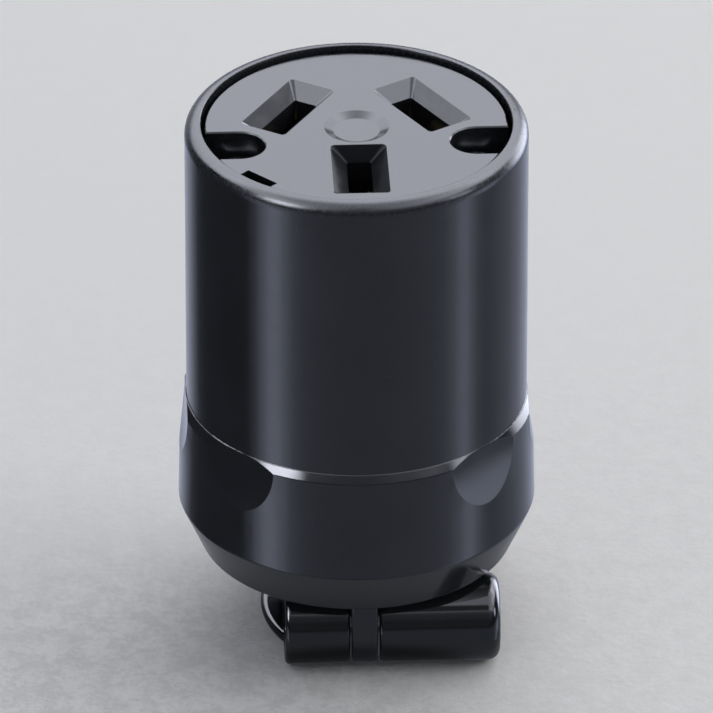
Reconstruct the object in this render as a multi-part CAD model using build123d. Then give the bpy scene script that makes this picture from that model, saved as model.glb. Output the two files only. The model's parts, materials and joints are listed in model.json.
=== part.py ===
from build123d import *
import math
import os

os.makedirs("parts", exist_ok=True)

# Rewirable three-pole cord connector body (the female end of a lead), standing on its cord clamp.
# Frame: millimetres, Z along the body axis and up to the plug face, origin on the axis at the lowest point.
# -Y is the side of the radial earth slot, +X the side of the long clamp barrels.

# Cover shell
TOP_Z = 79.3
BODY_R = 24.0
RIM_FILLET = 2.0
MOUTH_R = 21.75
SHOULDER_Z = 36.2
SHOULDER_LEDGE = 0.12
COLLAR_TOP_R = 24.85
COLLAR_TOP_Z = 35.1
COLLAR_R = 25.2
COLLAR_BOTTOM_Z = 19.9
BASE_R = 22.1
BASE_Z = 13.0
FLOOR_TOP_Z = 16.2
FLOOR_R = 19.8
CAVITY_TAPER_Z = 19.6
CABLE_HOLE_R = 7.2

# Grip facets round the collar: shallow scoops, deepest just under the shoulder
FACET_ANGLES = (45, 90, 135, 225, 270, 315)
FACET_TOP_DISTANCE = 24.02
FACET_SCOOP_R = 38.0

# Insert: face block, contact carrier and what they hold
FACE_Z = 78.5
BLOCK_R = 21.15
BLOCK_BOTTOM_Z = 54.0
CARRIER_R = 20.6
CARRIER_BOTTOM_Z = 50.0
DIMPLE_OUTER_R = 4.55
DIMPLE_FLOOR_R = 3.25
DIMPLE_DEPTH = 0.6

# Blade slots: the two line slots lie across a radius, the earth slot lies along one
LINE_SLOT_RADIUS = 11.09
LINE_SLOT_ANGLE = 32.2
LINE_SLOT_TURN = 58.4
EARTH_SLOT_RADIUS = 11.9
LINE_FUNNEL = (14.5, 7.1)
EARTH_FUNNEL = (13.6, 7.9)
FUNNEL_CORNER_R = 0.6
FUNNEL_DEPTH = 1.95
LINE_SLOT = (10.4, 3.4)
EARTH_SLOT = (10.2, 3.4)
CHAMBER = (11.0, 5.2)
CHAMBER_TOP_Z = 73.5

# Contacts and terminals
LEAF_WIDTH = 8.0
LEAF_THICKNESS = 0.8
LEAF_GAP = 1.5
LEAF_TOP_Z = 72.5
CONTACT_BASE_TOP_Z = 56.0
SPRING_THICKNESS = 0.5
SPRING_Z = (61.0, 69.0)
POST = 4.0
TERMINAL_RADII = (7.6, 14.8)
TERMINAL_WIDTH = 8.0
TERMINAL_Z = (40.5, 49.5)
WIRE_CAVITY_RADII = (8.8, 13.2)
WIRE_CAVITY_WIDTH = 5.6
WIRE_CAVITY_TOP_Z = 47.6
PLATE_THICKNESS = 1.0
TERMINAL_SCREW_R = 1.75
TERMINAL_SCREW_Z = 44.0
TERMINAL_HEAD_R = 3.2
TERMINAL_HEAD_RADII = (17.0, 19.2)
THREAD_CLEARANCE = 0.08

# Screws that hold the insert in the shell
FACE_SCREW_X = 16.6
FACE_SCREW_Y = -4.6
NOTCH_R = 3.7
NOTCH_FLOOR_Z = 72.0
NOTCH_BEVEL = 0.2
WASHER_THICKNESS = 0.9
WASHER_R = 3.25
FACE_HEAD_R = 3.2
FACE_HEAD_HEIGHT = 2.4
FACE_SCREW_R = 1.75
FACE_SCREW_TIP_Z = 40.5
BOSS_R = 4.2
BOSS_TOP_Z = 49.7
NUT_INSERT_R = 2.9
NUT_INSERT_LENGTH = 10.0

# Screws that hold the carrier to the face block
CARRIER_SCREW_YS = (0.8, 13.5)
CARRIER_SCREW_R = 1.5
CARRIER_SCREW_TIP_Z = 64.0
CARRIER_HEAD_R = 2.8
CARRIER_HEAD_HEIGHT = 1.8

# Key that sets the insert's angle
KEY_ANGLE = 225.0
KEY_WIDTH = 4.6
KEY_INNER_R = 19.7
KEY_TOP_Z = 75.6
KEY_SLOT_WIDTH = 5.4
KEY_SLOT_R = 19.2

# Cord clamp: two jaws drawn together along X by two screws
CLAMP_AXIS_Y = 13.3
BARREL_R = 6.2
LUG_X = (-1.5, 2.2)
LEFT_JAW_INNER_X = 1.7
RIGHT_JAW_INNER_X = 2.45
RIGHT_BARREL_END_X = 19.55
LEFT_BARREL_END_X = 10.8
BRIDGE_OUTER_X = 10.3
BRIDGE_TOP_Z = 12.0
GROOVE_R = 6.5
FLANGE_R = 19.0
FLANGE_OUTER_X = 13.6
FLANGE_THICKNESS = 2.0
CLAMP_SCREW_R = 2.0
CLAMP_HEAD_R = 3.7
CLAMP_HEAD_X = (14.3, 17.0)
COUNTERBORE_R = 4.1
CLAMP_SCREW_TIP_X = -10.4
CLAMP_NUT_X = (-8.4, -5.2)
NUT_FLATS = 7.0
NUT_POCKET_CLEARANCE = 0.1

BOTTOM = (Align.CENTER, Align.CENTER, Align.MIN)


def upright(radius, z0, z1, x=0.0, y=0.0):
    """Cylinder along Z between two heights."""
    return Pos(x, y, z0) * Cylinder(radius, z1 - z0, align=BOTTOM)


def sideways(radius, x0, x1, y, z):
    """Cylinder along X between two stations."""
    return Pos(x0, y, z) * Rot(0, 90, 0) * Cylinder(radius, x1 - x0, align=BOTTOM)


def block(x0, x1, y0, y1, z0, z1):
    """Box between two corners."""
    middle = Pos((x0 + x1) / 2, (y0 + y1) / 2, z0)
    return middle * Box(x1 - x0, y1 - y0, z1 - z0, align=BOTTOM)


def turned(points):
    """Solid turned about Z from an outline of (radius, height) points."""
    outline = Polyline([(r, 0, z) for r, z in points], close=True)
    return revolve(make_face(outline), Axis.Z)


def circle_edges(solid, radius, z):
    """Circular edges of one radius at one height."""
    found = []
    for edge in solid.edges().filter_by(GeomType.CIRCLE):
        if abs(edge.radius - radius) < 0.01 and abs(edge.center().Z - z) < 0.01:
            found.append(edge)
    return found


def at_angle(solid, angle):
    """Turn a solid about the body axis."""
    return Rot(0, 0, angle) * solid


def cross_recess(head_top, width=3.6, depth=1.3):
    """Cross-shaped driver recess to cut from a head whose top is at a given height."""
    arm = block(-width / 2, width / 2, -0.45, 0.45, head_top - depth, head_top + 0.1)
    return arm + Rot(0, 0, 90) * arm


def pan_screw(shank_r, head_r, head_height, length, slot=True):
    """Screw along Z: the head stands on z = 0 and the shank hangs below it."""
    head = upright(head_r, 0, head_height)
    head = fillet(circle_edges(head, head_r, head_height), head_height * 0.45)
    shank = upright(shank_r, -length, 0.05)
    shank = chamfer(circle_edges(shank, shank_r, -length), 0.4)
    screw = head + shank - cross_recess(head_height)
    if slot:
        screw -= block(-head_r, head_r, -0.4, 0.4, head_height - 0.7, head_height + 0.1)
    return screw


# ---- Cover shell -------------------------------------------------------------------------------

def facet_cutter(angle):
    """Lying cylinder that scoops one grip facet out of the collar, below the shoulder only."""
    cutter = Rot(90, 0, 0) * Cylinder(FACET_SCOOP_R, 24)
    cutter = Pos(FACET_TOP_DISTANCE + FACET_SCOOP_R, 0, SHOULDER_Z) * cutter
    keep_below_shoulder = block(FACET_TOP_DISTANCE - 1, 30, -12, 12, COLLAR_BOTTOM_Z, SHOULDER_Z)
    return at_angle(cutter & keep_below_shoulder, angle - 90)


def lug(side):
    """Tongue under the base that a clamp screw passes through, on the front or rear side."""
    y = side * CLAMP_AXIS_Y
    x0, x1 = LUG_X
    root = block(x0, x1, y - BARREL_R, y + BARREL_R, BARREL_R, FLOOR_TOP_Z)
    tip = sideways(BARREL_R, x0, x1, y, BARREL_R)
    body = root + tip
    outer_y = y + side * BARREL_R
    upright_edges = []
    for edge in body.edges():
        middle = edge @ 0.5
        if abs(middle.Y - outer_y) < 0.01 and min(abs(middle.X - x0), abs(middle.X - x1)) < 0.01:
            upright_edges.append(edge)
    body = fillet(upright_edges, 0.4)
    hole = sideways(CLAMP_SCREW_R + 0.3, x0 - 1, x1 + 1, y, BARREL_R)
    return body - hole


def boss(side):
    """Column that holds a threaded insert, joined to the wall by a web."""
    x = side * FACE_SCREW_X
    column = upright(BOSS_R, FLOOR_TOP_Z - 0.5, BOSS_TOP_Z, x, FACE_SCREW_Y)
    web_ends = sorted((x, side * (MOUTH_R + 0.8)))
    web = block(*web_ends, FACE_SCREW_Y - 1.5, FACE_SCREW_Y + 1.5, FLOOR_TOP_Z - 0.5, BOSS_TOP_Z)
    column = column + web
    column &= upright(MOUTH_R + 0.5, 0, TOP_Z)
    pocket = upright(NUT_INSERT_R, BOSS_TOP_Z - NUT_INSERT_LENGTH, BOSS_TOP_Z + 1, x, FACE_SCREW_Y)
    relief = upright(FACE_SCREW_R + 0.4, BOSS_TOP_Z - 14, BOSS_TOP_Z, x, FACE_SCREW_Y)
    return column, pocket + relief


def make_cover_shell():
    outline = [
        (0, BASE_Z),
        (BASE_R, BASE_Z),
        (COLLAR_R, COLLAR_BOTTOM_Z),
        (COLLAR_TOP_R, COLLAR_TOP_Z),
        (BODY_R + SHOULDER_LEDGE, SHOULDER_Z),
        (BODY_R, SHOULDER_Z),
        (BODY_R, TOP_Z),
        (0, TOP_Z),
    ]
    body = turned(outline)
    body = fillet(circle_edges(body, BODY_R, TOP_Z), RIM_FILLET)
    body = fillet(circle_edges(body, BODY_R, SHOULDER_Z), SHOULDER_LEDGE * 0.9)
    body = fillet(circle_edges(body, COLLAR_TOP_R, COLLAR_TOP_Z), 0.25)
    body = fillet(circle_edges(body, COLLAR_R, COLLAR_BOTTOM_Z), 1.0)
    body = fillet(circle_edges(body, BASE_R, BASE_Z), 0.6)
    for angle in FACET_ANGLES:
        body -= facet_cutter(angle)
    cavity = [
        (0, FLOOR_TOP_Z),
        (FLOOR_R, FLOOR_TOP_Z),
        (MOUTH_R, CAVITY_TAPER_Z),
        (MOUTH_R, TOP_Z),
        (0, TOP_Z),
    ]
    body -= turned(cavity)
    body = fillet(circle_edges(body, MOUTH_R, TOP_Z), 0.2)
    for side in (-1, 1):
        column, pocket = boss(side)
        body = body + column - pocket
        body += lug(side)
    rear_rib = block(-2.5, 2.5, 18.6, MOUTH_R + 0.6, FLOOR_TOP_Z - 0.5, BOSS_TOP_Z)
    key = block(KEY_INNER_R, MOUTH_R + 0.6, -KEY_WIDTH / 2, KEY_WIDTH / 2, 55.0, KEY_TOP_Z)
    body += rear_rib
    body += at_angle(key, KEY_ANGLE)
    body -= upright(CABLE_HOLE_R, 0, FLOOR_TOP_Z + 1)
    return body


def make_boss_insert(side):
    x = side * FACE_SCREW_X
    bottom = BOSS_TOP_Z - NUT_INSERT_LENGTH
    sleeve = upright(NUT_INSERT_R, bottom, BOSS_TOP_Z, x, FACE_SCREW_Y)
    return sleeve - upright(FACE_SCREW_R + THREAD_CLEARANCE, bottom - 1, BOSS_TOP_Z + 1, x, FACE_SCREW_Y)


# ---- Insert ------------------------------------------------------------------------------------

def slot_place(pole):
    """Where a pole's slot lies: its centre and the direction of its long side."""
    if pole == "front":
        return Pos(0, -EARTH_SLOT_RADIUS, 0) * Rot(0, 0, 90)
    side = -1 if pole == "left" else 1
    angle = math.radians(LINE_SLOT_ANGLE)
    x = side * LINE_SLOT_RADIUS * math.cos(angle)
    y = LINE_SLOT_RADIUS * math.sin(angle)
    return Pos(x, y, 0) * Rot(0, 0, -side * LINE_SLOT_TURN)


def rounded_prism(size, z0, z1, radius):
    """Upright block with rounded corners, centred on the axis."""
    return Pos(0, 0, z0) * extrude(RectangleRounded(size[0], size[1], radius), z1 - z0)


def slot_cutter(pole):
    """Funnel, slot and contact chamber of one pole."""
    funnel = EARTH_FUNNEL if pole == "front" else LINE_FUNNEL
    slot = EARTH_SLOT if pole == "front" else LINE_SLOT
    mouth = Pos(0, 0, FACE_Z) * RectangleRounded(funnel[0], funnel[1], FUNNEL_CORNER_R)
    throat = Pos(0, 0, FACE_Z - FUNNEL_DEPTH) * RectangleRounded(slot[0], slot[1], 0.3)
    cutter = loft([throat, mouth])
    cutter += rounded_prism(funnel, FACE_Z, FACE_Z + 0.5, FUNNEL_CORNER_R)
    cutter += rounded_prism(slot, CHAMBER_TOP_Z - 0.5, FACE_Z - FUNNEL_DEPTH, 0.3)
    cutter += rounded_prism(CHAMBER, BLOCK_BOTTOM_Z - 0.5, CHAMBER_TOP_Z, 0.4)
    return slot_place(pole) * cutter


def notch_outline(side, radius):
    """Outline of a screw notch: round at its inner end and open to the edge of the face."""
    length = BLOCK_R + 2 - FACE_SCREW_X
    channel = Pos(side * length / 2, 0, 0) * Rectangle(length, 2 * radius)
    return Pos(side * FACE_SCREW_X, FACE_SCREW_Y, 0) * (Circle(radius) + channel)


def notch_cutter(side):
    """Screw notch with a small bevel round its mouth and the screw hole below it."""
    x = side * FACE_SCREW_X
    cutter = extrude(Pos(0, 0, NOTCH_FLOOR_Z) * notch_outline(side, NOTCH_R), FACE_Z + 1 - NOTCH_FLOOR_Z)
    wide = Pos(0, 0, FACE_Z + NOTCH_BEVEL) * notch_outline(side, NOTCH_R + 2 * NOTCH_BEVEL)
    cutter += extrude(wide, 2 * NOTCH_BEVEL, dir=(0, 0, -1), taper=45)
    return cutter + upright(FACE_SCREW_R + THREAD_CLEARANCE, 40, NOTCH_FLOOR_Z + 1, x, FACE_SCREW_Y)


def key_slot():
    slot = block(KEY_SLOT_R, BLOCK_R + 2, -KEY_SLOT_WIDTH / 2, KEY_SLOT_WIDTH / 2, 40, FACE_Z + 1)
    return at_angle(slot, KEY_ANGLE)


def mouth_edges(body):
    """Edges where the slot funnels open onto the face."""
    found = []
    for edge in body.edges():
        box = edge.bounding_box()
        on_face = abs(box.min.Z - FACE_Z) < 0.01 and abs(box.max.Z - FACE_Z) < 0.01
        middle = edge @ 0.5
        if on_face and 5 < math.hypot(middle.X, middle.Y) < 19.5:
            found.append(edge)
    return found


def make_face_block():
    body = upright(BLOCK_R, BLOCK_BOTTOM_Z, FACE_Z)
    body = fillet(circle_edges(body, BLOCK_R, FACE_Z), 0.25)
    dimple = turned([
        (0, FACE_Z - DIMPLE_DEPTH),
        (DIMPLE_FLOOR_R, FACE_Z - DIMPLE_DEPTH),
        (DIMPLE_OUTER_R, FACE_Z),
        (DIMPLE_OUTER_R, FACE_Z + 0.5),
        (0, FACE_Z + 0.5),
    ])
    body -= dimple
    for pole in ("front", "left", "right"):
        body -= slot_cutter(pole)
    body = fillet(mouth_edges(body), 0.15)
    for side in (-1, 1):
        body -= notch_cutter(side)
    for y in CARRIER_SCREW_YS:
        body -= upright(CARRIER_SCREW_R, BLOCK_BOTTOM_Z - 1, CARRIER_SCREW_TIP_Z + 0.5, 0, y)
    return body - key_slot()


def make_contact_carrier():
    plate = upright(CARRIER_R, CARRIER_BOTTOM_Z, BLOCK_BOTTOM_Z)
    plate = chamfer(circle_edges(plate, CARRIER_R, CARRIER_BOTTOM_Z), 0.5)
    for pole in ("front", "left", "right"):
        plate -= slot_place(pole) * block(-POST / 2, POST / 2, -POST / 2, POST / 2, 40, 60)
    for side in (-1, 1):
        x = side * FACE_SCREW_X
        plate -= upright(FACE_SCREW_R + THREAD_CLEARANCE, 40, 60, x, FACE_SCREW_Y)
    for y in CARRIER_SCREW_YS:
        plate -= upright(CARRIER_SCREW_R, 40, 60, 0, y)
    return plate - key_slot()


def make_carrier_screws():
    screws = []
    for y in CARRIER_SCREW_YS:
        length = CARRIER_SCREW_TIP_Z - CARRIER_BOTTOM_Z
        screw = pan_screw(CARRIER_SCREW_R, CARRIER_HEAD_R, CARRIER_HEAD_HEIGHT, length, slot=False)
        screws.append(Pos(0, y, CARRIER_BOTTOM_Z) * Rot(180, 0, 0) * screw)
    return Compound(screws)


def radial_angle(pole):
    """Direction in which a pole's terminal screw faces."""
    return {"front": -90.0, "left": 180.0 - LINE_SLOT_ANGLE, "right": LINE_SLOT_ANGLE}[pole]


def make_contact(pole):
    """Two spring leaves on a base, with a post down to a box terminal."""
    inner = LEAF_GAP / 2
    outer = inner + LEAF_THICKNESS
    half = LEAF_WIDTH / 2
    leaves = block(-half, half, -outer, outer, BLOCK_BOTTOM_Z, LEAF_TOP_Z)
    leaves -= block(-half - 1, half + 1, -inner, inner, CONTACT_BASE_TOP_Z, LEAF_TOP_Z + 1)
    lead_in = []
    for edge in leaves.edges().filter_by(Axis.X):
        middle = edge @ 0.5
        if abs(middle.Z - LEAF_TOP_Z) < 0.01 and abs(abs(middle.Y) - inner) < 0.01:
            lead_in.append(edge)
    leaves = chamfer(lead_in, 0.4)
    post = block(-POST / 2, POST / 2, -POST / 2, POST / 2, TERMINAL_Z[1] - 0.5, BLOCK_BOTTOM_Z + 1)
    r0, r1 = TERMINAL_RADII
    w = TERMINAL_WIDTH / 2
    terminal = block(r0, r1, -w, w, *TERMINAL_Z)
    c = WIRE_CAVITY_WIDTH / 2
    terminal -= block(*WIRE_CAVITY_RADII, -c, c, TERMINAL_Z[0] - 1, WIRE_CAVITY_TOP_Z)
    hole_r = TERMINAL_SCREW_R + THREAD_CLEARANCE
    terminal -= sideways(hole_r, WIRE_CAVITY_RADII[1] - 1, r1 + 1, 0, TERMINAL_SCREW_Z)
    contact = slot_place(pole) * (leaves + post)
    return contact + at_angle(terminal, radial_angle(pole))


def make_contact_spring(pole):
    """U-shaped steel clip that presses the two leaves together."""
    inner = LEAF_GAP / 2 + LEAF_THICKNESS
    outer = inner + SPRING_THICKNESS
    end = LEAF_WIDTH / 2
    clip = block(-end, end + SPRING_THICKNESS, -outer, outer, *SPRING_Z)
    clip -= block(-end - 1, end, -inner, inner, SPRING_Z[0] - 1, SPRING_Z[1] + 1)
    return slot_place(pole) * clip


def make_pressure_plate(pole):
    """Plate that the terminal screw pushes inwards on the wire."""
    outer = WIRE_CAVITY_RADII[1] - 0.1
    c = WIRE_CAVITY_WIDTH / 2 - 0.2
    plate = block(outer - PLATE_THICKNESS, outer, -c, c, TERMINAL_Z[0] + 0.5, WIRE_CAVITY_TOP_Z - 0.3)
    return at_angle(plate, radial_angle(pole))


def make_terminal_screw(pole):
    length = TERMINAL_HEAD_RADII[0] - (WIRE_CAVITY_RADII[1] - 0.1)
    height = TERMINAL_HEAD_RADII[1] - TERMINAL_HEAD_RADII[0]
    screw = pan_screw(TERMINAL_SCREW_R, TERMINAL_HEAD_R, height, length)
    screw = Pos(TERMINAL_HEAD_RADII[0], 0, TERMINAL_SCREW_Z) * Rot(0, 90, 0) * screw
    return at_angle(screw, radial_angle(pole))


def make_face_screw(side):
    head_z = NOTCH_FLOOR_Z + WASHER_THICKNESS
    screw = pan_screw(FACE_SCREW_R, FACE_HEAD_R, FACE_HEAD_HEIGHT, head_z - FACE_SCREW_TIP_Z)
    return Pos(side * FACE_SCREW_X, FACE_SCREW_Y, head_z) * Rot(0, 0, side * 20) * screw


def make_washer(side):
    """Split spring washer under a face screw."""
    x = side * FACE_SCREW_X
    top = NOTCH_FLOOR_Z + WASHER_THICKNESS
    ring = upright(WASHER_R, NOTCH_FLOOR_Z, top, x, FACE_SCREW_Y)
    ring -= upright(FACE_SCREW_R + 0.2, NOTCH_FLOOR_Z - 1, top + 1, x, FACE_SCREW_Y)
    split = Pos(x, FACE_SCREW_Y, 0) * Rot(0, 0, 90 + side * 35) * block(0, 5, -0.25, 0.25, 70, 75)
    return ring - split


# ---- Cord clamp --------------------------------------------------------------------------------

def barrel(x0, x1, side, outer_fillet, inner_fillet=0.5):
    """Round clamp arm along X with rounded ends; x0 is its end at the lugs."""
    lo, hi = sorted((x0, x1))
    arm = sideways(BARREL_R, lo, hi, side * CLAMP_AXIS_Y, BARREL_R)
    for x, radius in ((x0, inner_fillet), (x1, outer_fillet)):
        ends = [e for e in arm.edges().filter_by(GeomType.CIRCLE) if abs(e.center().X - x) < 0.01]
        arm = fillet(ends, radius)
    return arm


def jaw_inner_x(side):
    """Where a jaw's arms end at the tongues of the shell."""
    return RIGHT_JAW_INNER_X if side > 0 else -LEFT_JAW_INNER_X


def jaw_bridge(side):
    """Web and foot flange between the two arms of a jaw, before the cord groove is cut."""
    inner = jaw_inner_x(side)
    web = block(*sorted((inner, side * BRIDGE_OUTER_X)), -CLAMP_AXIS_Y, CLAMP_AXIS_Y, 0.6, BRIDGE_TOP_Z)
    flange = upright(FLANGE_R, 0, FLANGE_THICKNESS, side * (FLANGE_OUTER_X - FLANGE_R))
    flange = fillet(circle_edges(flange, FLANGE_R, 0), 0.9)
    flange = fillet(circle_edges(flange, FLANGE_R, FLANGE_THICKNESS), 0.9)
    half_space = block(*sorted((inner, side * 30)), -CLAMP_AXIS_Y, CLAMP_AXIS_Y, -1, 20)
    return web + (flange & half_space)


def make_jaw(side):
    end_x = side * (RIGHT_BARREL_END_X if side > 0 else LEFT_BARREL_END_X)
    end_fillet = 1.7 if side > 0 else 0.7
    jaw = jaw_bridge(side)
    for row in (-1, 1):
        jaw += barrel(jaw_inner_x(side), end_x, row, end_fillet)
    jaw -= upright(GROOVE_R, -1, 20)
    for row in (-1, 1):
        y = row * CLAMP_AXIS_Y
        hole_r = CLAMP_SCREW_R + THREAD_CLEARANCE
        jaw -= sideways(hole_r, *sorted((0, side * 30)), y, BARREL_R)
        if side > 0:
            jaw -= sideways(COUNTERBORE_R, CLAMP_HEAD_X[0], 30, y, BARREL_R)
        else:
            pocket = NUT_FLATS + 2 * NUT_POCKET_CLEARANCE
            jaw -= hex_prism(pocket, -30, CLAMP_NUT_X[1], y)
    return jaw


def hex_prism(flats, x0, x1, y):
    """Hexagonal prism along X on a clamp screw's axis."""
    profile = RegularPolygon(flats / 2, 6, major_radius=False)
    prism = extrude(profile, x1 - x0)
    return Pos(x0, y, BARREL_R) * Rot(0, 90, 0) * prism


def make_clamp_nut(row):
    y = row * CLAMP_AXIS_Y
    nut = hex_prism(NUT_FLATS, *CLAMP_NUT_X, y)
    bore = sideways(CLAMP_SCREW_R + THREAD_CLEARANCE, -30, 0, y, BARREL_R)
    return nut - bore


def make_clamp_screw(row):
    length = CLAMP_HEAD_X[0] - CLAMP_SCREW_TIP_X
    screw = pan_screw(CLAMP_SCREW_R, CLAMP_HEAD_R, CLAMP_HEAD_X[1] - CLAMP_HEAD_X[0], length)
    return Pos(CLAMP_HEAD_X[0], row * CLAMP_AXIS_Y, BARREL_R) * Rot(0, 90, 0) * screw


# ---- Export ------------------------------------------------------------------------------------

SIDES = {"left": -1, "right": 1}
ROWS = {"front": -1, "rear": 1}

nodes = {
    "cover_shell": make_cover_shell(),
    "face_block": make_face_block(),
    "contact_carrier": make_contact_carrier(),
    "carrier_screws": make_carrier_screws(),
}
for pole in ("front", "left", "right"):
    nodes[f"contact_{pole}"] = make_contact(pole)
    nodes[f"contact_spring_{pole}"] = make_contact_spring(pole)
    nodes[f"terminal_screw_{pole}"] = make_terminal_screw(pole)
    nodes[f"pressure_plate_{pole}"] = make_pressure_plate(pole)
for name, side in SIDES.items():
    nodes[f"boss_insert_{name}"] = make_boss_insert(side)
    nodes[f"face_screw_{name}"] = make_face_screw(side)
    nodes[f"face_screw_washer_{name}"] = make_washer(side)
    nodes[f"clamp_jaw_{name}"] = make_jaw(side)
for name, row in ROWS.items():
    nodes[f"clamp_screw_{name}"] = make_clamp_screw(row)
    nodes[f"clamp_nut_{name}"] = make_clamp_nut(row)

for name, shape in nodes.items():
    export_step(shape, f"parts/{name}.step")
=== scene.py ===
import json
import math
from collections import namedtuple

import bpy
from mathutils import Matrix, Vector


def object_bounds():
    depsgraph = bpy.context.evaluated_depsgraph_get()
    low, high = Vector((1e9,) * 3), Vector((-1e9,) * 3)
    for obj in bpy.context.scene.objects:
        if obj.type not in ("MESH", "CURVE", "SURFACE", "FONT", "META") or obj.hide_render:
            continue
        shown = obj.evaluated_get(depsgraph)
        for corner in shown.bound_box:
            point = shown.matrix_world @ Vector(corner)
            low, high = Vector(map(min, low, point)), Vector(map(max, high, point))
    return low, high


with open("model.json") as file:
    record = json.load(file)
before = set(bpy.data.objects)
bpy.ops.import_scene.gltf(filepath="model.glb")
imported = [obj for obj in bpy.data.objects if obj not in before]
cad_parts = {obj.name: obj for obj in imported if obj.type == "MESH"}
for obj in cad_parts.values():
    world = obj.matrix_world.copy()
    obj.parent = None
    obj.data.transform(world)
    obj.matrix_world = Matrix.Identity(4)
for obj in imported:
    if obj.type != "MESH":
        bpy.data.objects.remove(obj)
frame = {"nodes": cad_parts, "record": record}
cad_low, cad_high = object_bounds()
CAD_NODES = frame["nodes"]

# Lengths are in metres, as in the frame, and angles in degrees.
MM = 0.001
TOP_Z = cad_high[2]
FACE_Z = TOP_Z - 0.8 * MM

# ---- Camera ------------------------------------------------------------------------------------

CAMERA_AZIMUTH = -2.5
CAMERA_ELEVATION = 30.5
CAMERA_DISTANCE = 1.8
CAMERA_LENS = 646.0
SENSOR_WIDTH = 36.0
CLIP_START, CLIP_END = 0.05, 50.0
CAMERA_TARGET = Vector((0.0, 0.0, 0.0413))


def direction(azimuth, elevation):
    """Unit vector: azimuth 0 is the front (-Y), 90 the right (+X)."""
    a, e = math.radians(azimuth), math.radians(elevation)
    return Vector((math.sin(a) * math.cos(e), -math.cos(a) * math.cos(e), math.sin(e)))


def aim_at_target(thing, azimuth, elevation, distance):
    """Stand a camera or lamp off from the target in a direction, looking back at it."""
    outward = direction(azimuth, elevation)
    thing.location = CAMERA_TARGET + distance * outward
    thing.rotation_euler = (-outward).to_track_quat("-Z", "Y").to_euler()


def make_camera():
    data = bpy.data.cameras.new("camera")
    data.lens = CAMERA_LENS
    data.sensor_width = SENSOR_WIDTH
    data.clip_start = CLIP_START
    data.clip_end = CLIP_END
    camera = bpy.data.objects.new("camera", data)
    bpy.context.scene.collection.objects.link(camera)
    aim_at_target(camera, CAMERA_AZIMUTH, CAMERA_ELEVATION, CAMERA_DISTANCE)
    bpy.context.scene.camera = camera


# ---- Node helpers ------------------------------------------------------------------------------

class Graph:
    """Small wrapper that keeps shader graphs readable."""

    def __init__(self, tree):
        self.tree = tree
        tree.nodes.clear()

    def node(self, kind, **settings):
        made = self.tree.nodes.new(kind)
        for key, value in settings.items():
            setattr(made, key, value)
        return made

    def feed(self, socket, value):
        """Link a socket, or set its value."""
        if isinstance(value, bpy.types.NodeSocket):
            self.tree.links.new(value, socket)
        else:
            socket.default_value = value

    def math(self, operation, *values):
        made = self.node("ShaderNodeMath", operation=operation)
        for socket, value in zip(made.inputs, values):
            self.feed(socket, value)
        return made.outputs[0]

    def add(self, first, second):
        return self.math("ADD", first, second)

    def multiply(self, first, second):
        return self.math("MULTIPLY", first, second)

    def blend(self, first, second, share):
        """First where share is 0, second where it is 1."""
        return self.add(self.multiply(first, self.math("SUBTRACT", 1.0, share)), self.multiply(second, share))

    def vector_math(self, operation, output, *vectors):
        made = self.node("ShaderNodeVectorMath", operation=operation)
        for socket, vector in zip(made.inputs, vectors):
            self.feed(socket, vector)
        return made.outputs[output]

    def split(self, vector):
        """X, Y and Z sockets of a vector."""
        made = self.node("ShaderNodeSeparateXYZ")
        self.feed(made.inputs[0], vector)
        return made.outputs

    def smooth(self, value, low, high, out_low=0.0, out_high=1.0):
        """Smooth step from out_low to out_high as value goes from low to high."""
        made = self.node("ShaderNodeMapRange", interpolation_type="SMOOTHSTEP")
        for name, given in (("Value", value), ("From Min", low), ("From Max", high),
                            ("To Min", out_low), ("To Max", out_high)):
            self.feed(made.inputs[name], given)
        return made.outputs[0]

    def ramp(self, value, stops, interpolation="LINEAR"):
        """Colour ramp through (position, grey level or colour) stops."""
        made = self.node("ShaderNodeValToRGB")
        ramp = made.color_ramp
        ramp.interpolation = interpolation
        while len(ramp.elements) < len(stops):
            ramp.elements.new(0.5)
        for element, (position, level) in zip(ramp.elements, stops):
            element.position = position
            colour = level if isinstance(level, tuple) else (level, level, level)
            element.color = (*colour, 1.0)
        self.feed(made.inputs[0], value)
        return made.outputs[0]

    def profile(self, value, half_range, stops):
        """Soft curve through (value, level) stops that lie within half_range of 0."""
        full_range = 2.0 * half_range
        peak = max(level for _, level in stops)
        placed = [((at + half_range) / full_range, level / peak) for at, level in stops]
        share = self.add(self.math("DIVIDE", value, full_range), 0.5)
        return self.multiply(self.ramp(share, placed, "EASE"), peak)

    def mix_shaders(self, share, first, second):
        made = self.node("ShaderNodeMixShader")
        for socket, value in zip(made.inputs, (share, first, second)):
            self.feed(socket, value)
        return made.outputs[0]

    def finish(self, kind, surface):
        """Output node of a material or world, fed with its surface shader."""
        self.feed(self.node(kind).inputs["Surface"], surface)


# Nearly all values of a noise lie between these.
NOISE_LOW, NOISE_HIGH = 0.3, 0.7


def noise(g, vector, scale, detail=2.0, roughness=0.5):
    made = g.node("ShaderNodeTexNoise")
    g.feed(made.inputs["Vector"], vector)
    g.feed(made.inputs["Scale"], scale)
    g.feed(made.inputs["Detail"], detail)
    g.feed(made.inputs["Roughness"], roughness)
    return made.outputs["Fac"]


def bump(g, height, strength, distance, normal=None):
    made = g.node("ShaderNodeBump")
    g.feed(made.inputs["Height"], height)
    g.feed(made.inputs["Strength"], strength)
    g.feed(made.inputs["Distance"], distance)
    if normal is not None:
        g.feed(made.inputs["Normal"], normal)
    return made.outputs["Normal"]


# ---- Surroundings ------------------------------------------------------------------------------
# Glossy rays see the panels and glows below, and all other rays a plain fill. Azimuths are measured
# from the camera's own, to the right. Bands are ranges of how far a ray points upwards, from -1 to 1.

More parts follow.
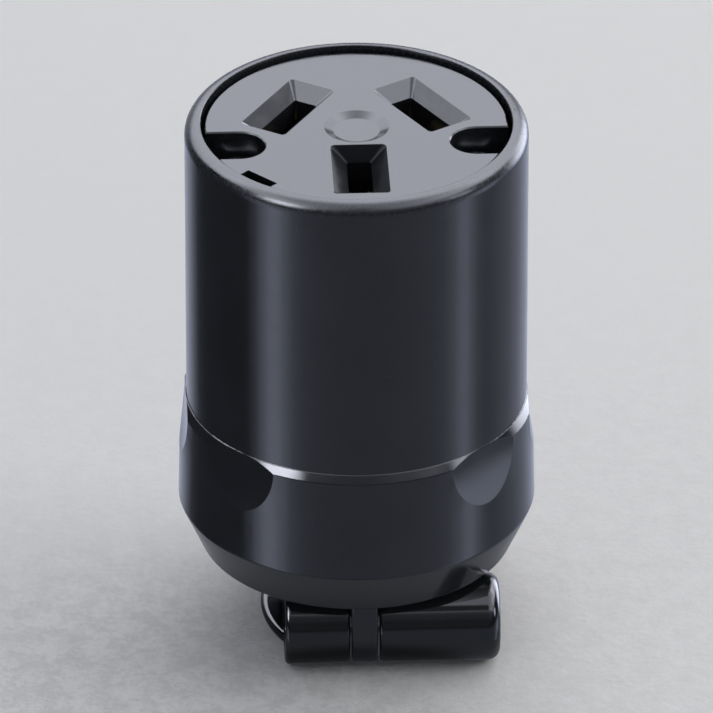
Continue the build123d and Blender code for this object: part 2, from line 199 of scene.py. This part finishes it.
# What upright walls mirror, as (azimuth, level): a broad soft strip on the left, a narrower one on
# the right, the floor between them and a paler rear.
WALL_STOPS = [
    (-180, 0.62), (-158, 0.58), (-149, 0.5), (-141, 0.3), (-134, 0.1), (-122, 0.05),
    (-80, 0.05), (-73, 0.35), (-67, 1.1), (-60, 2.0), (-55, 2.0), (-49, 1.3), (-42, 0.7),
    (-34, 0.48), (-22, 0.38), (0, 0.33), (36, 0.36), (50, 0.4), (60, 0.5), (68, 0.8),
    (75, 1.35), (79, 1.4), (85, 0.8), (91, 0.4), (98, 0.28), (120, 0.36), (135, 0.46),
    (150, 0.58), (165, 0.62), (180, 0.62),
]
# The same for steeper rays, which meet the floor close to the object's foot.
FOOT_STOPS = [
    (-180.0, 0.06), (-151.2, 0.1), (-122.4, 0.3), (-82.8, 0.38), (-36.0, 0.26), (0.0, 0.22),
    (43.2, 0.26), (82.8, 0.34), (133.2, 0.33), (158.4, 0.1), (180.0, 0.06),
]
FOOT_BAND = (-0.8, -0.62)

# Overhead panel, as (distance ahead of the zenith for each unit of height, level).
PANEL_STOPS = [
    (-4.0, 0.4), (-3.2, 2.6), (-2.4, 3.2), (-1.7, 3.6), (-1.0, 5.0), (-0.6, 6.2), (-0.36, 5.0),
    (-0.17, 3.0), (0.0, 2.1), (0.15, 1.85), (0.85, 1.75), (1.0, 1.2), (1.15, 0.4), (1.4, 0.2),
    (3.0, 0.06),
]
PANEL_HALF_RANGE = 4.0
PANEL_LOWEST = 0.02
# It gets brighter aside from the middle, by up to this share, but not beyond this far behind.
PANEL_SIDE_GAIN = 0.6
PANEL_SIDE_GAIN_AHEAD = (-0.7, -0.3)
# Its edges: how far aside overhead, how much further for each unit behind, and from where past the
# edge it is gone to where it is full.
Edge = namedtuple("Edge", "overhead spread gone full")
PANEL_LEFT_EDGE = Edge(1.2, 0.8, 0.35, -0.1)
PANEL_RIGHT_EDGE = Edge(1.0, 0.35, 0.9, 0.0)

LEVEL_BETWEEN_PANELS = 0.06
HORIZON_BAND = (-0.12, 0.06)

# Round glows: full within the inner angle, nothing beyond the outer one.
Glow = namedtuple("Glow", "azimuth elevation inner outer level")
LEFT_LAMP = Glow(-53.0, 31.0, 5.0, 16.0, 18.0)
RIGHT_LAMP = Glow(72.0, 21.0, 3.0, 11.0, 7.0)
LEFT_SLOT_LIGHT = Glow(-71.7, 51.5, 6.0, 16.0, 2.7)
RIGHT_SLOT_LIGHT = Glow(80.8, 47.9, 6.0, 16.0, 2.0)
LEFT_DIMMER = Glow(-110.0, 27.4, 6.0, 14.0, -0.9)
DARK_CARD = Glow(5.0, 52.5, 5.0, 9.0, 0.9)
FLOOR_GLOW = Glow(93.0, -13.0, 3.0, 15.0, 1.3)
REAR_GLOW = Glow(135.0, 2.0, 6.0, 25.0, 7.0)

TINT_LOW = (0.73, 0.79, 1.0)
TINT_HIGH = (0.785, 0.805, 0.908)
TINT_GAIN = 1.2
FILL_COLOUR = (0.94, 0.995, 1.065, 1.0)
FILL_LEVEL = 0.43


class Ray:
    """Direction in which a ray leaves, as parts to the front, to the right and up."""

    def __init__(self, g):
        self.towards = g.node("ShaderNodeTexCoord").outputs["Generated"]
        self.front = self.along(g, direction(CAMERA_AZIMUTH, 0.0))
        self.right = self.along(g, direction(CAMERA_AZIMUTH + 90.0, 0.0))
        self.up = self.along(g, Vector((0.0, 0.0, 1.0)))

    def along(self, g, axis):
        return g.vector_math("DOT_PRODUCT", "Value", self.towards, axis)


def glow(g, ray, spot):
    """Brightness that one round glow adds."""
    aim = ray.along(g, direction(CAMERA_AZIMUTH + spot.azimuth, spot.elevation))
    share = g.smooth(aim, math.cos(math.radians(spot.outer)), math.cos(math.radians(spot.inner)))
    return g.multiply(share, spot.level)


def lower_half(g, ray):
    """Brightness below the horizon."""
    azimuth = g.math("DEGREES", g.math("ARCTAN2", ray.right, ray.front))
    walls = g.profile(azimuth, 180.0, WALL_STOPS)
    foot = g.profile(azimuth, 180.0, FOOT_STOPS)
    low = g.blend(foot, walls, g.smooth(ray.up, *FOOT_BAND))
    return g.add(low, glow(g, ray, FLOOR_GLOW))


def inside_edge(g, aside, behind, edge):
    """Share from 1 on the panel to 0 past one of its edges."""
    limit = g.add(g.multiply(behind, edge.spread), edge.overhead)
    return g.smooth(g.math("SUBTRACT", aside, limit), edge.gone, edge.full)


def overhead_panel(g, ray):
    """Panel on a plane one unit up: from in front of the object to low behind it."""
    height = g.math("MAXIMUM", ray.up, PANEL_LOWEST)
    ahead = g.math("DIVIDE", ray.front, height)
    across = g.math("DIVIDE", ray.right, height)
    panel = g.profile(ahead, PANEL_HALF_RANGE, PANEL_STOPS)

    aside = g.math("MINIMUM", g.math("ABSOLUTE", across), PANEL_SIDE_GAIN)
    gain = g.multiply(aside, g.smooth(ahead, *PANEL_SIDE_GAIN_AHEAD))
    panel = g.multiply(panel, g.add(gain, 1.0))
    behind = g.math("MAXIMUM", g.multiply(ahead, -1.0), 0.0)
    panel = g.multiply(panel, inside_edge(g, g.multiply(across, -1.0), behind, PANEL_LEFT_EDGE))
    return g.multiply(panel, inside_edge(g, across, behind, PANEL_RIGHT_EDGE))


def upper_half(g, ray):
    """Brightness above the horizon: the panel, the lamps and a dark card over the front slot."""
    high = g.add(overhead_panel(g, ray), LEVEL_BETWEEN_PANELS)
    for spot in (LEFT_LAMP, RIGHT_LAMP, LEFT_SLOT_LIGHT, RIGHT_SLOT_LIGHT, LEFT_DIMMER):
        high = g.add(high, glow(g, ray, spot))
    return g.multiply(high, g.math("SUBTRACT", 1.0, glow(g, ray, DARK_CARD)))


def background(g, colour, strength):
    made = g.node("ShaderNodeBackground")
    g.feed(made.inputs["Color"], colour)
    g.feed(made.inputs["Strength"], strength)
    return made.outputs[0]


def make_world():
    """Soft studio surroundings. Glossy rays see the panels, everything else a plain pale fill."""
    world = bpy.data.worlds.new("studio")
    bpy.context.scene.world = world
    world.use_nodes = True
    g = Graph(world.node_tree)
    ray = Ray(g)
    height = g.smooth(ray.up, *HORIZON_BAND)
    level = g.blend(lower_half(g, ray), upper_half(g, ray), height)
    level = g.add(level, glow(g, ray, REAR_GLOW))
    tint = g.ramp(height, [(0.0, TINT_LOW), (1.0, TINT_HIGH)])
    seen = background(g, tint, g.multiply(level, TINT_GAIN))
    fill = background(g, FILL_COLOUR, FILL_LEVEL)
    glossy = g.node("ShaderNodeLightPath").outputs["Is Glossy Ray"]
    g.finish("ShaderNodeOutputWorld", g.mix_shaders(glossy, fill, seen))


# ---- Lamps and floor ---------------------------------------------------------------------------

SOFTBOX_DISTANCE = 1.6

FLOOR_HALF = 3.0
FLOOR_DARK = (0.575, 0.5625, 0.552)
FLOOR_LIGHT = (0.677, 0.6625, 0.65)
# The paper's grain and mottle grow from the first of these Y values to the second.
GRAIN_FADE = (0.12, -0.03)
GRAIN_STRENGTHS = (0.02, 0.27)
MOTTLE_SPREADS = (0.15, 1.0)
# A rumpled patch left of the clamp adds to both: from nothing at one distance to full at another.
RUMPLE_CENTRE = (-30.0 * MM, -30.0 * MM, 0.0)
RUMPLE_FADE = (55.0 * MM, 15.0 * MM)
RUMPLE_STRENGTHS = (0.0, 0.85)
RUMPLE_MOTTLE = 3.0

SHADE_RADIUS = 34.0 * MM
SHADE_LIFT = 0.04 * MM
SHADE_SIDES = 64
SHADE_FADE = (20.5 * MM, 29.0 * MM)
SHADE_LEVELS = (0.06, 0.31)
SHADE_COLOUR = (0.93, 0.975, 1.09, 1.0)


def make_area(name, azimuth, elevation, size, power):
    """Softbox aimed at the object. It lights surfaces; the surroundings carry its reflection."""
    data = bpy.data.lights.new(name, "AREA")
    data.shape = "RECTANGLE"
    data.size, data.size_y = size
    data.energy = power
    lamp = bpy.data.objects.new(name, data)
    bpy.context.scene.collection.objects.link(lamp)
    aim_at_target(lamp, azimuth, elevation, SOFTBOX_DISTANCE)
    lamp.visible_glossy = False
    lamp.visible_camera = False


def make_flat(name, corners, material):
    """Object with one flat face, for the studio."""
    mesh = bpy.data.meshes.new(name)
    mesh.from_pydata(corners, [], [tuple(range(len(corners)))])
    mesh.materials.append(material)
    flat = bpy.data.objects.new(name, mesh)
    bpy.context.scene.collection.objects.link(flat)
    return flat


def floor_paper():
    """Pale paper with a fine grain, a mottle and a rumpled patch."""
    material, g, shader = new_material("floor_paper")
    place = g.node("ShaderNodeTexCoord").outputs["Object"]
    y = g.split(place)["Y"]
    off_centre = g.vector_math("DISTANCE", "Value", place, RUMPLE_CENTRE)
    rumpled = g.smooth(off_centre, *RUMPLE_FADE, *RUMPLE_STRENGTHS)

    fine = noise(g, place, scale=900.0, detail=6.0, roughness=0.7)
    medium = noise(g, place, scale=420.0, detail=3.0, roughness=0.6)
    coarse = noise(g, place, scale=260.0, detail=4.0, roughness=0.6)

    grain = g.add(fine, g.multiply(medium, 0.9))
    strength = g.add(g.smooth(y, *GRAIN_FADE, *GRAIN_STRENGTHS), rumpled)
    g.feed(shader.inputs["Normal"], bump(g, grain, strength, distance=0.3 * MM))

    mottle = g.math("SUBTRACT", g.add(g.multiply(fine, 0.5), g.multiply(coarse, 0.5)), 0.5)
    spread = g.add(g.smooth(y, *GRAIN_FADE, *MOTTLE_SPREADS), g.multiply(rumpled, RUMPLE_MOTTLE))
    tint = g.add(g.multiply(mottle, spread), 0.5)
    g.feed(shader.inputs["Base Color"], g.ramp(tint, [(NOISE_LOW, FLOOR_DARK), (NOISE_HIGH, FLOOR_LIGHT)]))
    g.feed(shader.inputs["Roughness"], 0.75)
    return material


def make_floor():
    half = FLOOR_HALF
    corners = [(-half, -half, 0), (half, -half, 0), (half, half, 0), (-half, half, 0)]
    floor = make_flat("floor", corners, floor_paper())
    floor.visible_glossy = False


def shade_glow():
    """Dim glow, darkest in the middle. From below it can't be seen."""
    material = bpy.data.materials.new("floor_shade")
    material.use_nodes = True
    g = Graph(material.node_tree)
    radius = g.vector_math("LENGTH", "Value", g.node("ShaderNodeTexCoord").outputs["Object"])
    lit = g.node("ShaderNodeEmission")
    g.feed(lit.inputs["Color"], SHADE_COLOUR)
    g.feed(lit.inputs["Strength"], g.smooth(radius, *SHADE_FADE, *SHADE_LEVELS))
    clear = g.node("ShaderNodeBsdfTransparent")
    below = g.node("ShaderNodeNewGeometry").outputs["Backfacing"]
    g.finish("ShaderNodeOutputMaterial", g.mix_shaders(below, lit.outputs[0], clear.outputs[0]))
    return material


def make_floor_shade():
    """Dark disc under the clamp that only reflections see, in place of the shaded floor there."""
    angles = [2 * math.pi * i / SHADE_SIDES for i in range(SHADE_SIDES)]
    rim = [(SHADE_RADIUS * math.cos(a), SHADE_RADIUS * math.sin(a), SHADE_LIFT) for a in angles]
    shade = make_flat("floor_shade", rim, shade_glow())
    shade.visible_camera = False
    shade.visible_diffuse = False
    shade.visible_shadow = False
    shade.visible_transmission = False


# ---- Materials ---------------------------------------------------------------------------------

PLASTIC_IOR = 1.5
CLOUD_CONTRAST = 0.14
TARNISH_DARKENING = 0.72
EDGE_ROUNDING = 0.12 * MM

# Heights between which the handled rim gets duller, its mean roughness, and how that varies.
RIM_WEAR_BAND = (TOP_Z - 2.1 * MM, TOP_Z - 1.6 * MM)
RIM_ROUGHNESS = 0.27
RIM_VARIATION = (0.8, 1.15)

# Box round the front slot's funnel, which shines less than the rest of the face: painted shade
# in that recess.
FRONT_SLOT_Y = -11.95 * MM
FRONT_SLOT_HALF_WIDTH = 4.1 * MM
FRONT_SLOT_HALF_LENGTH = 7.05 * MM
FRONT_SLOT_SHADE_BOX = {
    "X": (-FRONT_SLOT_HALF_WIDTH, FRONT_SLOT_HALF_WIDTH),
    "Y": (FRONT_SLOT_Y - FRONT_SLOT_HALF_LENGTH, FRONT_SLOT_Y + FRONT_SLOT_HALF_LENGTH),
    "Z": (FACE_Z - 8.5 * MM, FACE_Z - 0.05 * MM),
}
# Specular level of the face, and the lower one inside the slot's box, which paints shade there.
FULL_SHINE = 0.5
PAINTED_SHADE_SHINE = 0.05


def new_material(name):
    material = bpy.data.materials.new(name)
    material.use_nodes = True
    g = Graph(material.node_tree)
    shader = g.node("ShaderNodeBsdfPrincipled")
    g.finish("ShaderNodeOutputMaterial", shader.outputs[0])
    return material, g, shader


def scaled(colour, factor):
    return tuple(c * factor for c in colour)


def worn_rim(g, place, roughness):
    """Roughness that turns dull and uneven above the rim's edge."""
    wear = g.smooth(g.split(place)["Z"], *RIM_WEAR_BAND)
    scuff = noise(g, place, scale=1500.0, detail=4.0, roughness=0.7)
    dull = g.multiply(g.smooth(scuff, NOISE_LOW, NOISE_HIGH, *RIM_VARIATION), RIM_ROUGHNESS)
    return g.blend(roughness, dull, wear)


def shine_outside(g, place, box):
    """Specular level that drops inside a box, which paints shade there."""
    parts = g.split(place)
    inside = 1.0
    for axis, (least, most) in box.items():
        above_least = g.math("GREATER_THAN", parts[axis], least)
        below_most = g.math("LESS_THAN", parts[axis], most)
        inside = g.multiply(inside, g.multiply(above_least, below_most))
    return g.math("SUBTRACT", FULL_SHINE, g.multiply(inside, FULL_SHINE - PAINTED_SHADE_SHINE))


def moulded_plastic(name, colour, gloss, rim=False, painted_shade_box=None):
    """Moulded plastic: cloudy colour, faint orange peel, fine handling marks in the gloss.

    gloss is its lowest and highest roughness, rim adds the wear of a handled rim, and the last
    argument is a box in which it shines less, as painted shade.
    """
    material, g, shader = new_material(name)
    place = g.node("ShaderNodeTexCoord").outputs["Object"]
    cloud = noise(g, place, scale=90.0, detail=4.0)
    dark, light = scaled(colour, 1.0 - CLOUD_CONTRAST), scaled(colour, 1.0 + CLOUD_CONTRAST)
    cloudy = g.ramp(cloud, [(NOISE_LOW, dark), (NOISE_HIGH, light)])
    g.feed(shader.inputs["Base Color"], cloudy)

    smear = noise(g, place, scale=260.0, detail=5.0, roughness=0.65)
    roughness = g.smooth(smear, 0.35, 0.75, *gloss)
    if rim:
        roughness = worn_rim(g, place, roughness)
    g.feed(shader.inputs["Roughness"], roughness)
    # Painted shade: the surface shines less inside the given box.
    if painted_shade_box is not None:
        g.feed(shader.inputs["Specular IOR Level"], shine_outside(g, place, painted_shade_box))

    rounded = g.node("ShaderNodeBevel", samples=4)
    g.feed(rounded.inputs["Radius"], EDGE_ROUNDING)
    peel = noise(g, place, scale=700.0)
    grain = noise(g, place, scale=5200.0)
    peeled = bump(g, peel, strength=0.05, distance=0.05 * MM, normal=rounded.outputs[0])
    grained = bump(g, grain, strength=0.035, distance=0.02 * MM, normal=peeled)
    g.feed(shader.inputs["Normal"], grained)
    g.feed(shader.inputs["IOR"], PLASTIC_IOR)
    return material


def plated_metal(name, colour, gloss):
    """Plated or rolled metal with fine scuffs and a little tarnish."""
    material, g, shader = new_material(name)
    place = g.node("ShaderNodeTexCoord").outputs["Object"]
    tarnish = noise(g, place, scale=400.0, detail=5.0, roughness=0.6)
    dark = scaled(colour, TARNISH_DARKENING)
    g.feed(shader.inputs["Base Color"], g.ramp(tarnish, [(NOISE_LOW, dark), (0.62, colour)]))
    scuff = noise(g, place, scale=2500.0, detail=4.0, roughness=0.7)
    g.feed(shader.inputs["Roughness"], g.smooth(scuff, NOISE_LOW, NOISE_HIGH, *gloss))
    g.feed(shader.inputs["Normal"], bump(g, scuff, strength=0.15, distance=0.02 * MM))
    g.feed(shader.inputs["Metallic"], 1.0)
    return material


def shell_plastic():
    return moulded_plastic("shell_plastic", (0.0145, 0.0155, 0.0185), (0.10, 0.17), rim=True)


# The front slot's funnel shines less than the rest of the face: painted shade.
def face_plastic():
    return moulded_plastic("face_plastic", (0.011, 0.012, 0.014), (0.14, 0.22), painted_shade_box=FRONT_SLOT_SHADE_BOX)


def clamp_plastic():
    return moulded_plastic("clamp_plastic", (0.007, 0.0085, 0.0095), (0.06, 0.12))


def carrier_plastic():
    return moulded_plastic("carrier_plastic", (0.03, 0.022, 0.016), (0.45, 0.6))


def contact_brass():
    return plated_metal("contact_brass", (0.5, 0.36, 0.16), (0.3, 0.48))


def spring_steel():
    return plated_metal("spring_steel", (0.42, 0.42, 0.45), (0.2, 0.36))


def nickel_screw():
    return plated_metal("nickel_screw", (0.66, 0.63, 0.57), (0.18, 0.34))


def zinc_steel():
    return plated_metal("zinc_steel", (0.62, 0.63, 0.66), (0.22, 0.4))


def face_screw_steel():
    return plated_metal("face_screw_steel", (0.24, 0.24, 0.25), (0.2, 0.34))


MATERIAL_MAKERS = (
    shell_plastic, face_plastic, clamp_plastic, carrier_plastic, contact_brass, spring_steel,
    nickel_screw, zinc_steel, face_screw_steel,
)


def dress_cad_nodes():
    """Give every CAD node the material of its slot in the record."""
    materials = {maker.__name__: maker() for maker in MATERIAL_MAKERS}
    slots = {entry["node"]: entry["material_slot"] for entry in frame["record"]["subparts"]}
    for name, node in CAD_NODES.items():
        node.data.materials.clear()
        node.data.materials.append(materials[slots[name]])


make_camera()
bpy.context.scene.view_settings.view_transform = "Standard"
make_world()
make_floor()
make_floor_shade()
make_area("back_softbox", azimuth=162.0, elevation=52.0, size=(1.6, 1.2), power=9.9)
make_area("side_softbox", azimuth=90.0, elevation=27.0, size=(1.1, 0.8), power=11.7)
dress_cad_nodes()
